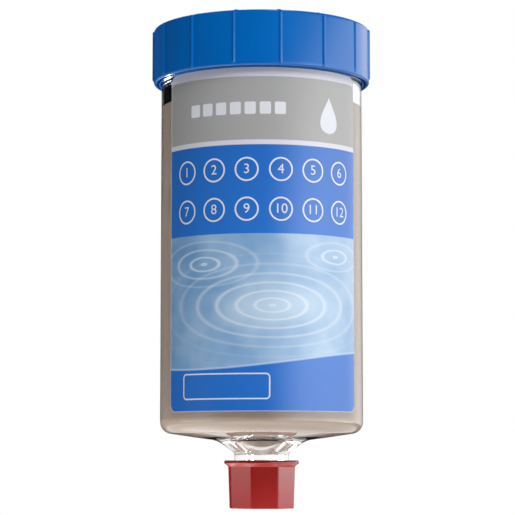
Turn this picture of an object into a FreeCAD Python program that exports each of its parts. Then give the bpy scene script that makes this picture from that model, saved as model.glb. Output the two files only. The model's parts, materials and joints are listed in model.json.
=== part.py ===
import FreeCAD, Part
import math
import os

# Gas-driven automatic lubricator: clear grease container, piston, time-setting drive unit and outlet plug.
# Millimetres. +Z is up, the label faces -Y, and the origin is the centre of the outlet's end face.

V = FreeCAD.Vector
ORIGIN = V(0, 0, 0)
UP = V(0, 0, 1)

# Outlet thread: quarter inch taper pipe thread, as its plain core without the ridge
THREAD_GAUGE_D = 13.157
THREAD_GAUGE_LENGTH = 6.0
THREAD_TAPER = 1 / 16
THREAD_DEPTH = 0.856
THREAD_LENGTH = 10.1
OUTLET_BORE_D = 5.5

# Clear container
BODY_D = 50.0
BODY_WALL = 2.4
BODY_HEIGHT = 111.0
NECK_SHOULDER = 0.12
NECK_HEIGHT = 1.9
NECK_ROUND = 1.2
FLARE_D = 22.0
FLARE_RISE = 3.0
FLARE_ROUND = 6.0
FLAT_D = 32.0
FLAT_RISE = 0.65
FLAT_ROUND = 12.0
DISH_RISE = 1.35
FLOOR_THICKNESS = 2.0
FLOOR_BREAK_ROUND = 8.0
FLOOR_CORNER_R = 3.0
FLOOR_INNER_R = 1.8
FUNNEL_D = 12.0
FUNNEL_DEPTH = 4.2
SNAP_BEAD_HEIGHT = 0.5
SNAP_BEAD_WIDTH = 1.6
SNAP_BEAD_BELOW_RIM = 3.2
COLLAR_SEAT_STEP = 0.35

# Label
LABEL_THICKNESS = 0.08
LABEL_BLANK = 1.0
LABEL_ABOVE_BOTTOM = 4.6
LABEL_RING_GAP = 0.05
LABEL_LEFT_DEG = -61.0
LABEL_RIGHT_DEG = 63.4
LABEL_CORNER_R = 2.2

# Piston and grease
PISTON_GAP = 0.4
PISTON_GAS_GAP = 0.45
PISTON_TOP_GAP = 0.8
PISTON_SKIRT_WALL = 1.8
PISTON_CROWN = 1.8
PISTON_CROWN_ROUND = 1.0
PISTON_NOSE_GAP = 1.5
PISTON_NOSE = 2.4
PISTON_NOSE_SLOPE = 2.25
PISTON_RIBS = 8
PISTON_RIB_WIDTH = 1.2
PISTON_RIB_HEIGHT = 0.6
SEAL_HEIGHT = 1.6
SEAL_DEPTH = 1.0
SEAL_LIP_ROUND = 0.53
SEAL_CLEARANCE = 0.06
SEAL_INSET = 1.8
GREASE_WALL_GAP = 0.05
GREASE_PISTON_GAP = 0.3

# Outlet plug
PLUG_WASHER = 0.6
PLUG_WASHER_INSET = 0.6
PLUG_FLOOR = 1.0
PLUG_CLEARANCE = 0.12
PLUG_WALL = 1.14
PLUG_DRAFT = 0.325
PLUG_SIDES = 8
PLUG_TURN_DEG = 5.4
PLUG_FLANGE_REACH = 1.22
PLUG_FLANGE = 0.7
PLUG_FLANGE_ROUND = 0.23
PLUG_FLARE = 0.8
PLUG_BOTTOM_CHAMFER = 0.5

# Top ring
RING_CLEARANCE = 0.25
RING_BELOW_RIM = 7.4
RING_FLANGE = 3.0
RING_OPENING_D = 40.4
RING_OPENING_BEVEL = 1.0
RING_BOTTOM_ROUND = 0.5
RING_TOP_ROUND = 0.7
RING_LIP = 0.45
RING_LIP_DROP = 0.15
RING_GROOVE = 0.5
RING_GROOVE_DEPTH = 2.0
RING_OUTER_LIP = 0.75
RIBS = 15
RIB_WIDTH = 0.7
RIB_HEIGHT = 0.3
RIB_ROOT = 0.4
RIB_FIRST_DEG = 9.6
NUB_INSET = 1.95
NUB_LENGTH = 2.4
NUB_WIDTH = 1.2
NUB_HEIGHT = 0.9
NUB_ROOT = 1.0
NUB_ROUND = 0.3

# Drive housing and cover seal
COVER_GASKET = 1.0
GASKET_INSET = 0.1
HOUSING_FLANGE = 2.0
HOUSING_PLATE = 1.8
HOUSING_PLATE_DROP = 1.8
HOUSING_SPIGOT_CLEARANCE = 0.2
HOUSING_SKIRT_GAP = 0.4
HOUSING_SKIRT_WALL = 1.6
HOUSING_RECESS_INSET = 0.6

# Setting dial
SCALE_THICKNESS = 0.8
SCALE_CLEARANCE = 0.2
SCALE_DIAL_GAP = 0.4
DIAL_D = 28.2
DIAL_CLEARANCE = 0.2
DIAL_DISC = 1.4
DIAL_DISC_ROUND = 0.4
DIAL_RIM = 1.4
DIAL_DISH = 0.3
BAR_INSET = 0.7
BAR_HEIGHT = 3.2
BAR_WIDTH = 6.4
BAR_WAIST = 4.6
BAR_WAIST_R = 24.0
BAR_ROUND = 0.5
POINTER_LENGTH = 5.0
POINTER_WIDTH = 1.6
POINTER_DEPTH = 0.5
POINTER_INSET = 1.6
DIAL_TRAVEL_DEG = 330.0
STOP_RING_D = 20.0
STOP_WIDTH = 2.0
STOP_DEPTH = 0.8
STOP_BLOCK_DEG = 12.0
STOP_PLAY_DEG = 1.0

# Dial shaft, its seal and clip, and the switch that it turns
SHAFT_D = 8.0
SHAFT_CLEARANCE = 0.08
SHAFT_TIP_STEP = 1.0
SHAFT_SEAL = 0.8
SHAFT_SEAL_DEPTH = 0.8
SHAFT_SEAL_CLEARANCE = 0.04
CLIP_THICKNESS = 0.8
CLIP_REACH = 2.0
CLIP_GROOVE_DEPTH = 0.7
CLIP_GAP = 0.15
CLIP_MOUTH = 6.0
ROTOR_D = 17.0
ROTOR_THICKNESS = 1.2
ROTOR_GAP = 0.3
WIPER_THICKNESS = 0.25
WIPER_INSET = 0.9
WIPER_WIDTH = 2.2
WIPER_FOOT_D = 1.5
WIPER_FOOT = 0.45
WIPER_FOOT_GAP = 0.05

# Gas cell, battery and their electronics
BOARD_THICKNESS = 1.0
BOARD_CLEARANCE = 0.2
CHIPS = 7
CHIP_STEP_DEG = 26.0
CHIP_INSET = 4.2
CHIP_HEIGHT = 0.7
CHIP_LENGTH = 2.6
CHIP_WIDTH = 1.4
TRAY_WALL = 1.2
TRAY_FLOOR = 1.0
TRAY_CLEARANCE = 0.2
CELL_WALL_GAP = 1.0
CELL_GAP = 0.8
CELL_HEIGHT = 4.6
CELL_ROUND = 0.6
CONTACT_THICKNESS = 0.3
CONTACT_WIDTH = 4.0
VENT_D = 3.0
VENT_SEAT = 3.0
VENT_MEMBRANE = 0.4

# Radii worked out from the sizes above
body_r = BODY_D / 2
chamber_r = body_r - BODY_WALL
collar_seat_r = body_r - COLLAR_SEAT_STEP
bore_r = OUTLET_BORE_D / 2
thread_slope = THREAD_TAPER / 2
thread_end_r = THREAD_GAUGE_D / 2 - THREAD_GAUGE_LENGTH * thread_slope
core_r = thread_end_r - THREAD_DEPTH
neck_r = THREAD_GAUGE_D / 2 + NECK_SHOULDER
label_r = body_r + LABEL_THICKNESS
skirt_r = chamber_r - PISTON_GAP
skirt_inner_r = skirt_r - PISTON_SKIRT_WALL
plug_bore_r = thread_end_r + PLUG_CLEARANCE
plug_flat_r = plug_bore_r + PLUG_WALL
plug_flange_r = plug_flat_r + PLUG_DRAFT + PLUG_FLANGE_REACH
ring_inner_r = body_r + RING_CLEARANCE
ring_lip_r = ring_inner_r + RING_LIP
ring_groove_r = ring_lip_r + RING_GROOVE
ring_r = ring_groove_r + RING_OUTER_LIP
opening_r = RING_OPENING_D / 2
recess_r = opening_r - HOUSING_RECESS_INSET
housing_r = skirt_inner_r - HOUSING_SKIRT_GAP
housing_inner_r = housing_r - HOUSING_SKIRT_WALL
scale_r = recess_r - SCALE_CLEARANCE
dial_r = DIAL_D / 2
dish_r = dial_r - DIAL_RIM
bar_r = dish_r - BAR_INSET
shaft_r = SHAFT_D / 2
tip_r = shaft_r - SHAFT_TIP_STEP
clip_groove_r = shaft_r - CLIP_GROOVE_DEPTH
rotor_r = ROTOR_D / 2
wiper_r = rotor_r - WIPER_INSET
board_r = housing_inner_r - BOARD_CLEARANCE
tray_r = housing_inner_r - TRAY_CLEARANCE
tray_inner_r = tray_r - TRAY_WALL
cell_r = (tray_inner_r - CELL_WALL_GAP - CELL_GAP / 2) / 2
cell_x = cell_r + CELL_GAP / 2
stop_lug_deg = 360 - DIAL_TRAVEL_DEG - STOP_BLOCK_DEG - 2 * STOP_PLAY_DEG

# Heights of the container, from the outlet upwards
neck_top_z = THREAD_LENGTH + NECK_HEIGHT
flare_z = neck_top_z + FLARE_RISE
flat_z = flare_z + FLAT_RISE
wall_z = flat_z + DISH_RISE
floor_z = flat_z + FLOOR_THICKNESS
floor_edge_z = wall_z + FLOOR_THICKNESS
rim_z = BODY_HEIGHT
bead_z = rim_z - SNAP_BEAD_BELOW_RIM

# Heights of the drive unit, from the rim upwards and then from its plate downwards
gasket_top_z = rim_z + COVER_GASKET
flange_top_z = gasket_top_z + HOUSING_FLANGE
ring_top_z = flange_top_z + RING_FLANGE
ring_bottom_z = rim_z - RING_BELOW_RIM
ring_lip_z = ring_bottom_z - RING_LIP_DROP
plate_top_z = flange_top_z - HOUSING_PLATE_DROP
plate_bottom_z = plate_top_z - HOUSING_PLATE
dial_bottom_z = plate_top_z + DIAL_CLEARANCE
dial_top_z = dial_bottom_z + DIAL_DISC
bar_top_z = dial_top_z + BAR_HEIGHT
shaft_seal_z = plate_top_z - (HOUSING_PLATE + SHAFT_SEAL) / 2
clip_top_z = plate_bottom_z - CLIP_GAP
clip_z = clip_top_z - CLIP_THICKNESS
rotor_top_z = clip_z - ROTOR_GAP
rotor_z = rotor_top_z - ROTOR_THICKNESS
wiper_z = rotor_z - WIPER_THICKNESS
wiper_foot_z = wiper_z - WIPER_FOOT
board_top_z = wiper_foot_z - WIPER_FOOT_GAP
board_z = board_top_z - BOARD_THICKNESS
cell_top_z = board_z - CONTACT_THICKNESS
cell_z = cell_top_z - CELL_HEIGHT
tray_floor_z = cell_z - CONTACT_THICKNESS
tray_z = tray_floor_z - TRAY_FLOOR
membrane_z = tray_z - VENT_MEMBRANE

# Heights of the label and of the full container's piston
label_z = wall_z + LABEL_ABOVE_BOTTOM
label_top_z = ring_lip_z - LABEL_RING_GAP
piston_rib_top_z = membrane_z - PISTON_GAS_GAP
crown_top_z = piston_rib_top_z - PISTON_RIB_HEIGHT
crown_z = crown_top_z - PISTON_CROWN
piston_edge_z = crown_z + DISH_RISE
piston_top_z = plate_bottom_z - PISTON_TOP_GAP
seal_zs = [piston_edge_z + SEAL_INSET, piston_top_z - SEAL_INSET - SEAL_HEIGHT]


def corner_arc(before, corner, after, radius):
    """Start, middle and end of the arc of that radius tangent to both sides of a corner."""
    to_before = (before - corner).normalize()
    to_after = (after - corner).normalize()
    half = to_before.getAngle(to_after) / 2
    reach = radius / math.tan(half)
    bisector = (to_before + to_after).normalize()
    centre = corner + bisector * (radius / math.sin(half))
    return corner + to_before * reach, centre - bisector * radius, corner + to_after * reach


def outline(corners):
    """Closed wire in the XZ plane through (radius, z) or (radius, z, rounding) corners."""
    points = [V(c[0], 0, c[1]) for c in corners]
    count = len(points)
    stops = []
    for i, corner in enumerate(corners):
        if len(corner) == 3:
            stops.append(corner_arc(points[i - 1], points[i], points[(i + 1) % count], corner[2]))
        else:
            stops.append((points[i],))
    edges = []
    for i, stop in enumerate(stops):
        if len(stop) == 3:
            edges.append(Part.Arc(*stop).toShape())
        following = stops[(i + 1) % count][0]
        if stop[-1].distanceToPoint(following) > 1e-6:
            edges.append(Part.LineSegment(stop[-1], following).toShape())
    return Part.Wire(edges)


def turned(corners):
    """Solid of revolution about Z of a rounded outline."""
    solid = Part.Face(outline(corners)).revolve(ORIGIN, UP, 360)
    if solid.Volume < 0:
        solid.reverse()
    return solid


def disc(radius, bottom_z, top_z):
    """Round plate about Z."""
    return Part.makeCylinder(radius, top_z - bottom_z, V(0, 0, bottom_z))


def washer(outer_r, inner_r, bottom_z, top_z):
    """Flat ring about Z."""
    return disc(outer_r, bottom_z, top_z).cut(disc(inner_r, bottom_z, top_z))


def box(centre_x, centre_y, size_x, size_y, bottom_z, top_z):
    """Upright box about a centre line."""
    corner = V(centre_x - size_x / 2, centre_y - size_y / 2, bottom_z)
    return Part.makeBox(size_x, size_y, top_z - bottom_z, corner)


def spun(shape, degrees):
    """Copy of a shape turned about Z."""
    copy = shape.copy()
    copy.rotate(ORIGIN, UP, degrees)
    return copy


def spread(shape, count, first_deg=0.0):
    """Copies of a shape at equal steps round Z."""
    return [spun(shape, first_deg + i * 360 / count) for i in range(count)]


def sector(outer_r, inner_r, bottom_z, top_z, centre_deg, width_deg):
    """Part of a flat ring, with its middle at centre_deg from the front."""
    height = top_z - bottom_z
    wedge = Part.makeCylinder(outer_r, height, V(0, 0, bottom_z), UP, width_deg)
    core = Part.makeCylinder(inner_r, height, V(0, 0, bottom_z), UP, width_deg)
    return spun(wedge.cut(core), centre_deg - width_deg / 2 - 90)


def top_edges(shape):
    """Edges that lie in the shape's highest plane."""
    top = shape.BoundBox.ZMax
    return [e for e in shape.Edges if e.BoundBox.ZMin > top - 1e-6]


def chamber_floor(gap):
    """Corners of the chamber's floor, from the funnel's mouth to the wall, held off by gap."""
    return [
        (FUNNEL_D / 2 - gap, floor_z + gap),
        (FLAT_D / 2, floor_z + gap, FLOOR_BREAK_ROUND),
        (chamber_r - gap, floor_edge_z + gap, FLOOR_INNER_R),
    ]


def container():
    """Clear moulding: outlet neck, flared bottom, wall, collar seat and snap bead in one piece."""
    shell = turned([
        (0, 0),
        (core_r, 0),
        (core_r + THREAD_LENGTH * thread_slope, THREAD_LENGTH),
        (neck_r, THREAD_LENGTH),
        (neck_r, neck_top_z, NECK_ROUND),
        (FLARE_D / 2, flare_z, FLARE_ROUND),
        (FLAT_D / 2, flat_z, FLAT_ROUND),
        (body_r, wall_z, FLOOR_CORNER_R),
        (body_r, label_top_z),
        (collar_seat_r, label_top_z),
        (collar_seat_r, bead_z - SNAP_BEAD_WIDTH / 2),
        (body_r + SNAP_BEAD_HEIGHT, bead_z),
        (collar_seat_r, bead_z + SNAP_BEAD_WIDTH / 2),
        (collar_seat_r, rim_z),
        (0, rim_z),
    ])
    hollow = turned([
        (0, 0),
        (bore_r, 0),
        (bore_r, floor_z - FUNNEL_DEPTH),
        *chamber_floor(0),
        (chamber_r, rim_z),
        (0, rim_z),
    ])
    return shell.cut(hollow)


def label():
    """Printed film round part of the wall, with rounded corners, up to the ring's lip."""
    middle = (LABEL_LEFT_DEG + LABEL_RIGHT_DEG) / 2
    width = LABEL_RIGHT_DEG - LABEL_LEFT_DEG
    blank = sector(label_r, body_r - LABEL_BLANK, label_z, label_top_z, middle, width)
    corners = [e for e in blank.Edges if abs(e.Length - LABEL_BLANK - LABEL_THICKNESS) < LABEL_THICKNESS]
    return blank.makeFillet(LABEL_CORNER_R, corners).cut(disc(body_r, label_z, label_top_z))


def piston_nose(gap):
    """Corners of the nose that pushes the last grease into the funnel, held off by gap."""
    nose_r = FUNNEL_D / 2 - PISTON_NOSE_GAP
    return [
        (nose_r + gap, crown_z - gap),
        (nose_r - PISTON_NOSE_SLOPE + gap, crown_z - gap - PISTON_NOSE),
        (0, crown_z - gap - PISTON_NOSE),
    ]


def grease_charge():
    """Grease that fills the chamber from its floor to the piston."""
    return turned([
        (0, floor_z + GREASE_WALL_GAP),
        *chamber_floor(GREASE_WALL_GAP),
        (chamber_r - GREASE_WALL_GAP, piston_edge_z - GREASE_PISTON_GAP),
        (FLAT_D / 2, crown_z - GREASE_PISTON_GAP),
        *piston_nose(GREASE_PISTON_GAP),
    ])


def piston():
    """Cup-shaped piston whose underside matches the chamber's floor, with two seal grooves."""
    cup = turned([
        *reversed(piston_nose(0)),
        (FLAT_D / 2, crown_z),
        (skirt_r, piston_edge_z, FLOOR_INNER_R - PISTON_GAP),
        (skirt_r, piston_top_z),
        (skirt_inner_r, piston_top_z),
        (skirt_inner_r, piston_edge_z + PISTON_CROWN, PISTON_CROWN_ROUND),
        (FLAT_D / 2, crown_top_z),
        (0, crown_top_z),
    ])
    for z in seal_zs:
        cup = cup.cut(washer(skirt_r + SEAL_DEPTH, skirt_r - SEAL_DEPTH, z, z + SEAL_HEIGHT))
    rib = box(FLAT_D / 4, 0, FLAT_D / 2, PISTON_RIB_WIDTH, crown_z + PISTON_CROWN / 2, piston_rib_top_z)
    return cup.fuse(spread(rib, PISTON_RIBS)).removeSplitter()


def piston_seal(bottom_z):
    """Rubber ring in one of the piston's grooves, rounded where it meets the wall."""
    top_z = bottom_z + SEAL_HEIGHT
    outer_r = chamber_r - SEAL_CLEARANCE
    return turned([
        (skirt_r - SEAL_DEPTH, bottom_z),
        (outer_r, bottom_z, SEAL_LIP_ROUND),
        (outer_r, top_z, SEAL_LIP_ROUND),
        (skirt_r - SEAL_DEPTH, top_z),
    ])


def octagon(flat_r, z):
    """Closed polygon by the distance of its flats from the axis, a flat near the front."""
    corner_r = flat_r / math.cos(math.pi / PLUG_SIDES)
    step = 360 / PLUG_SIDES
    first = V(corner_r, 0, z)
    corners = []
    for i in range(PLUG_SIDES + 1):
        turn = FreeCAD.Rotation(UP, PLUG_TURN_DEG - 90 + (i + 0.5) * step)
        corners.append(turn.multVec(first))
    return Part.makePolygon(corners)


def outlet_plug():
    """Screw cap with tapering flats and a thin flange at its mouth."""
    bottom_z = -PLUG_WASHER - PLUG_FLOOR
    top_z = THREAD_LENGTH
    flange_z = top_z - PLUG_FLANGE
    flats_z = flange_z - PLUG_FLARE
    flat_top_r = plug_flat_r + PLUG_DRAFT
    corner_r = plug_flat_r / math.cos(math.pi / PLUG_SIDES)
    reach = 2 * PLUG_FLARE
    flats = Part.makeLoft([octagon(plug_flat_r, bottom_z), octagon(flat_top_r, flats_z)], True)
    trim = turned([
        (0, bottom_z),
        (corner_r - PLUG_BOTTOM_CHAMFER, bottom_z),
        (corner_r + reach, bottom_z + reach + PLUG_BOTTOM_CHAMFER),
        (corner_r + reach, flats_z),
        (0, flats_z),
    ])
    mouth = turned([
        (0, flats_z),
        (flat_top_r, flats_z),
        (plug_flange_r, flange_z),
        (plug_flange_r, top_z, PLUG_FLANGE_ROUND),
        (0, top_z),
    ])
    bore = turned([
        (0, -PLUG_WASHER),
        (plug_bore_r, -PLUG_WASHER),
        (plug_bore_r + (top_z + PLUG_WASHER) * thread_slope, top_z),
        (0, top_z),
    ])
    return flats.common(trim).fuse(mouth).cut(bore).removeSplitter()


def plug_washer():
    """Soft disc that closes the outlet inside the plug."""
    return disc(thread_end_r - PLUG_WASHER_INSET, -PLUG_WASHER, 0)


def ring_rib():
    """One bevelled bar up the front of the ring's side."""
    bottom_z = ring_bottom_z + RING_BOTTOM_ROUND
    bar_y = (RIB_ROOT - RIB_HEIGHT) / 2 - ring_r
    bar = box(0, bar_y, RIB_WIDTH, RIB_ROOT + RIB_HEIGHT, bottom_z, ring_top_z - RING_TOP_ROUND)
    ends = [e for e in bar.Edges if e.BoundBox.YMax < -ring_r and e.BoundBox.ZLength < RIB_HEIGHT]
    return bar.makeChamfer(RIB_HEIGHT, ends)


def ring_nub():
    """One rounded nub on the ring's top face, in line with its rib."""
    nub_y = NUB_INSET + NUB_LENGTH / 2 - ring_r
    nub = box(0, nub_y, NUB_WIDTH, NUB_LENGTH, ring_top_z - NUB_ROOT, ring_top_z + NUB_HEIGHT)
    return nub.makeFillet(NUB_ROUND, top_edges(nub))


def top_ring():
    """Ribbed collar that snaps over the container's bead and clamps the drive housing."""
    bead_half = SNAP_BEAD_WIDTH / 2 + RING_CLEARANCE
    groove_top_z = ring_bottom_z + RING_GROOVE_DEPTH
    ring = turned([
        (ring_inner_r, ring_lip_z),
        (ring_lip_r, ring_lip_z),
        (ring_lip_r, groove_top_z),
        (ring_groove_r, groove_top_z),
        (ring_groove_r, ring_bottom_z),
        (ring_r, ring_bottom_z, RING_BOTTOM_ROUND),
        (ring_r, ring_top_z, RING_TOP_ROUND),
        (opening_r + RING_OPENING_BEVEL, ring_top_z),
        (opening_r, ring_top_z - RING_OPENING_BEVEL),
        (opening_r, flange_top_z),
        (ring_inner_r, flange_top_z),
        (ring_inner_r, bead_z + bead_half),
        (ring_inner_r + SNAP_BEAD_HEIGHT, bead_z),
        (ring_inner_r, bead_z - bead_half),
    ])
    for piece in (ring_rib(), ring_nub()):
        ring = ring.fuse(spread(piece, RIBS, RIB_FIRST_DEG))
    return ring.removeSplitter()


def cover_gasket():
    """Flat ring between the container's rim and the drive housing."""
    return washer(collar_seat_r - GASKET_INSET, chamber_r + GASKET_INSET, rim_z, gasket_top_z)


def drive_housing():
    """Cover that closes the container, with the dial's bearing and stop, and a skirt round the cells."""
    bearing_r = shaft_r + SHAFT_CLEARANCE
    spigot_r = chamber_r - HOUSING_SPIGOT_CLEARANCE
    housing = turned([
        (bearing_r, plate_bottom_z),
        (housing_inner_r, plate_bottom_z),
        (housing_inner_r, tray_z),
        (housing_r, tray_z),
        (housing_r, plate_bottom_z),
        (spigot_r, plate_bottom_z),
        (spigot_r, gasket_top_z),
        (body_r, gasket_top_z),
        (body_r, flange_top_z),
        (recess_r, flange_top_z),
        (recess_r, plate_top_z),
        (bearing_r, plate_top_z),
    ])
    track_outer_r = (STOP_RING_D + STOP_WIDTH) / 2 + DIAL_CLEARANCE
    track_inner_r = (STOP_RING_D - STOP_WIDTH) / 2 - DIAL_CLEARANCE
    track_z = plate_top_z - STOP_DEPTH - DIAL_CLEARANCE
    block_deg = (STOP_BLOCK_DEG + stop_lug_deg) / 2 + STOP_PLAY_DEG
    track_deg = 360 - STOP_BLOCK_DEG
    track = sector(track_outer_r, track_inner_r, track_z, plate_top_z, block_deg + 180, track_deg)
    return housing.cut(track)


def dial_scale():
    """Flat ring round the dial that carries the month marks."""
    return washer(scale_r, dial_r + SCALE_DIAL_GAP, plate_top_z, plate_top_z + SCALE_THICKNESS)


def grip_bar():
    """Finger bar across the dial, narrower at its waist and rounded along its top."""
    bar = box(0, 0, BAR_WIDTH, 2 * bar_r, dial_bottom_z, bar_top_z)
    bar = bar.common(disc(bar_r, dial_bottom_z, bar_top_z))
    waist_x = BAR_WAIST / 2 + BAR_WAIST_R
    height = bar_top_z - dial_bottom_z
    for side in (-1, 1):
        bar = bar.cut(Part.makeCylinder(BAR_WAIST_R, height, V(side * waist_x, 0, dial_bottom_z)))
    return bar.makeFillet(BAR_ROUND, top_edges(bar))


def dial_pointer():
    """Pointer inlay near the front end of the grip bar."""
    pointer_y = POINTER_INSET + POINTER_LENGTH / 2 - bar_r
    return box(0, pointer_y, POINTER_WIDTH, POINTER_LENGTH, bar_top_z - POINTER_DEPTH, bar_top_z)


def setting_dial():
    """Dished disc with a grip bar on top, a stop lug below and a stepped, grooved shaft."""
    plate = turned([
        (0, dial_bottom_z),
        (dial_r, dial_bottom_z),
        (dial_r, dial_top_z, DIAL_DISC_ROUND),
        (dish_r, dial_top_z),
        (dish_r - DIAL_DISH, dial_top_z - DIAL_DISH),
        (0, dial_top_z - DIAL_DISH),
    ])
    lug_outer_r = (STOP_RING_D + STOP_WIDTH) / 2
    lug_inner_r = (STOP_RING_D - STOP_WIDTH) / 2
    lug = sector(lug_outer_r, lug_inner_r, dial_bottom_z - STOP_DEPTH, dial_bottom_z, 0, stop_lug_deg)
    shaft = disc(shaft_r, clip_z, dial_bottom_z)
    tip = disc(tip_r, rotor_z, clip_z)
    seal_groove = washer(SHAFT_D, shaft_r - SHAFT_SEAL_DEPTH, shaft_seal_z, shaft_seal_z + SHAFT_SEAL)
    clip_groove = washer(SHAFT_D, clip_groove_r, clip_z, clip_top_z)
    dial = plate.fuse([grip_bar(), lug, shaft, tip])
    return dial.cut([seal_groove, clip_groove, dial_pointer()]).removeSplitter()


def dial_seal_ring():
    """Seal in the shaft's groove, inside the housing's bearing."""
    outer_r = shaft_r + SHAFT_CLEARANCE - SHAFT_SEAL_CLEARANCE
    return washer(outer_r, shaft_r - SHAFT_SEAL_DEPTH, shaft_seal_z, shaft_seal_z + SHAFT_SEAL)


def dial_clip():
    """Open retaining clip in the shaft's groove under the housing's plate."""
    ring = washer(shaft_r + CLIP_REACH, clip_groove_r, clip_z, clip_top_z)
    mouth = box(0, SHAFT_D, CLIP_MOUTH, 2 * SHAFT_D, clip_z, clip_top_z)
    return ring.cut(mouth)


def switch_rotor():
    """Insulating disc on the shaft's tip that turns the wiper."""
    return washer(rotor_r, tip_r, rotor_z, rotor_top_z)


def wiper_contact():
    """Sprung strip under the rotor with two feet that slide on the board."""
    strip = box(0, 0, 2 * wiper_r, WIPER_WIDTH, wiper_z, rotor_z)
    foot_x = wiper_r - WIPER_WIDTH / 2
    for x in (-foot_x, foot_x):
        strip = strip.fuse(Part.makeCylinder(WIPER_FOOT_D / 2, WIPER_FOOT, V(x, 0, wiper_foot_z)))
    return strip


def circuit_board():
    """Round board under the wiper, seated on the tray's wall."""
    return disc(board_r, board_z, board_top_z)


def board_chips():
    """Resistors in an arc on the board's top, beyond the wiper."""
    chip = box(0, CHIP_INSET - board_r, CHIP_LENGTH, CHIP_WIDTH, board_top_z, board_top_z + CHIP_HEIGHT)
    first_deg = -CHIP_STEP_DEG * (CHIPS - 1) / 2
    return Part.makeCompound([spun(chip, first_deg + i * CHIP_STEP_DEG) for i in range(CHIPS)])


def button_cell(side):
    """Round cell standing in the tray, to one side of the axis."""
    cell = Part.makeCylinder(cell_r, CELL_HEIGHT, V(side * cell_x, 0, cell_z))
    rims = [e for e in cell.Edges if e.BoundBox.ZLength < CELL_ROUND]
    return cell.makeFillet(CELL_ROUND, rims)


def lower_contact():
    """Strip that joins both cells from below."""
    return box(0, 0, 2 * cell_x, CONTACT_WIDTH, tray_floor_z, cell_z)


def upper_contacts():
    """Two tabs between the cells and the board."""
    tabs = [box(x, 0, CONTACT_WIDTH, CONTACT_WIDTH, cell_top_z, board_z) for x in (-cell_x, cell_x)]
    return Part.makeCompound(tabs)


def cell_tray():
    """Cup that holds the cells, with a vent hole, and carries the board on its wall."""
    return turned([
        (VENT_D / 2, tray_z),
        (tray_r, tray_z),
        (tray_r, board_z),
        (tray_inner_r, board_z),
        (tray_inner_r, tray_floor_z),
        (VENT_D / 2, tray_floor_z),
    ])


def vent_membrane():
    """Gas-permeable disc over the tray's vent."""
    return disc(VENT_D / 2 + VENT_SEAT, membrane_z, tray_z)


NODES = {
    "container": container,
    "label": label,
    "grease_charge": grease_charge,
    "piston": piston,
    "piston_seal_lower": lambda: piston_seal(seal_zs[0]),
    "piston_seal_upper": lambda: piston_seal(seal_zs[1]),
    "outlet_plug": outlet_plug,
    "plug_washer": plug_washer,
    "top_ring": top_ring,
    "cover_gasket": cover_gasket,
    "drive_housing": drive_housing,
    "dial_scale": dial_scale,
    "setting_dial": setting_dial,
    "dial_pointer": dial_pointer,
    "dial_seal_ring": dial_seal_ring,
    "dial_clip": dial_clip,
    "switch_rotor": switch_rotor,
    "wiper_contact": wiper_contact,
    "circuit_board": circuit_board,
    "board_chips": board_chips,
    "gas_cell": lambda: button_cell(-1),
    "battery_cell": lambda: button_cell(1),
    "lower_contact": lower_contact,
    "upper_contacts": upper_contacts,
    "cell_tray": cell_tray,
    "vent_membrane": vent_membrane,
}


def main():
    """Writes one STEP file for each node."""
    os.makedirs("parts", exist_ok=True)
    for name, make in NODES.items():
        shape = make()
        shape.exportStep(os.path.join("parts", name + ".step"))
        print(f"{name}: {len(shape.Solids)} solid, {shape.Volume / 1000:.3f} cm3, valid {shape.isValid()}")


main()
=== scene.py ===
"""Looks of an automatic lubricator: clear container, grease, label, ribbed ring, dial and plug."""

import json
import math

import bmesh
import bpy
import numpy as np
from mathutils import Matrix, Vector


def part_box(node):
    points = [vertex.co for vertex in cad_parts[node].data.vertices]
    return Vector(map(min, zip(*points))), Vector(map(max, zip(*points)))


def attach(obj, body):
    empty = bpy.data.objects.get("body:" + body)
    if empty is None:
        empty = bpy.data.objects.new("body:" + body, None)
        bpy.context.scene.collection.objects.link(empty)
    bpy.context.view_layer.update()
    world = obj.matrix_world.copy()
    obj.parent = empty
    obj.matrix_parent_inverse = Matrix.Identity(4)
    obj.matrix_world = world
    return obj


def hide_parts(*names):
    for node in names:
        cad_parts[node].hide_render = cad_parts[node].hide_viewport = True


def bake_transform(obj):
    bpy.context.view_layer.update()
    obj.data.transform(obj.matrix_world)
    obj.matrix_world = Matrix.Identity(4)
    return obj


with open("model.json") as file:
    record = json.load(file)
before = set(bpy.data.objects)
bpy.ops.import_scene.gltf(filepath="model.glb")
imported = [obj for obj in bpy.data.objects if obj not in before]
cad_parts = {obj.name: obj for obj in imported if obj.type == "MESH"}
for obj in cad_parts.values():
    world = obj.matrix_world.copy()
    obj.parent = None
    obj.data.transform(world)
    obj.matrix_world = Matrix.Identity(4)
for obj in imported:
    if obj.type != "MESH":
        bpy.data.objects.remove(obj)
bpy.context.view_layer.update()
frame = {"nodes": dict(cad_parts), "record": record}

MM = 0.001
TURN = 2 * math.pi

# Camera, from the photograph's vanishing lines and the ellipses of the ring and the bottom
LENS_MM = 139.1
SENSOR_MM = 36.0
CAMERA_AT = (-0.00099, -0.4922, 0.01097)
CAMERA_PITCH_DEG = 5.72

# Outlet thread and neck, in millimetres
THREAD_PITCH = 25.4 / 19
THREAD_DEPTH = 0.856
THREAD_TAPER = 1 / 32
THREAD_CREST_R = 6.391
THREAD_LENGTH = 10.1
ROWS_PER_PITCH = 12
OUTLET_BORE_R = 2.75
NECK_R = 6.6985
NECK_TOP = 12.0
NECK_ROUND = 1.2
FLARE_R = 11.0
FLARE_Z = 15.0
FLARE_ROUND = 6.0
FLAT_R = 16.0
FLAT_Z = 15.65
FLAT_ROUND = 12.0
FLOOR_BREAK_ROUND = 8.0
WALL_Z = 17.0
FLOOR = 2.0
FUNNEL_R = 6.0
FUNNEL_DEPTH = 4.2
FUNNEL_ROUND = 1.0

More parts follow.
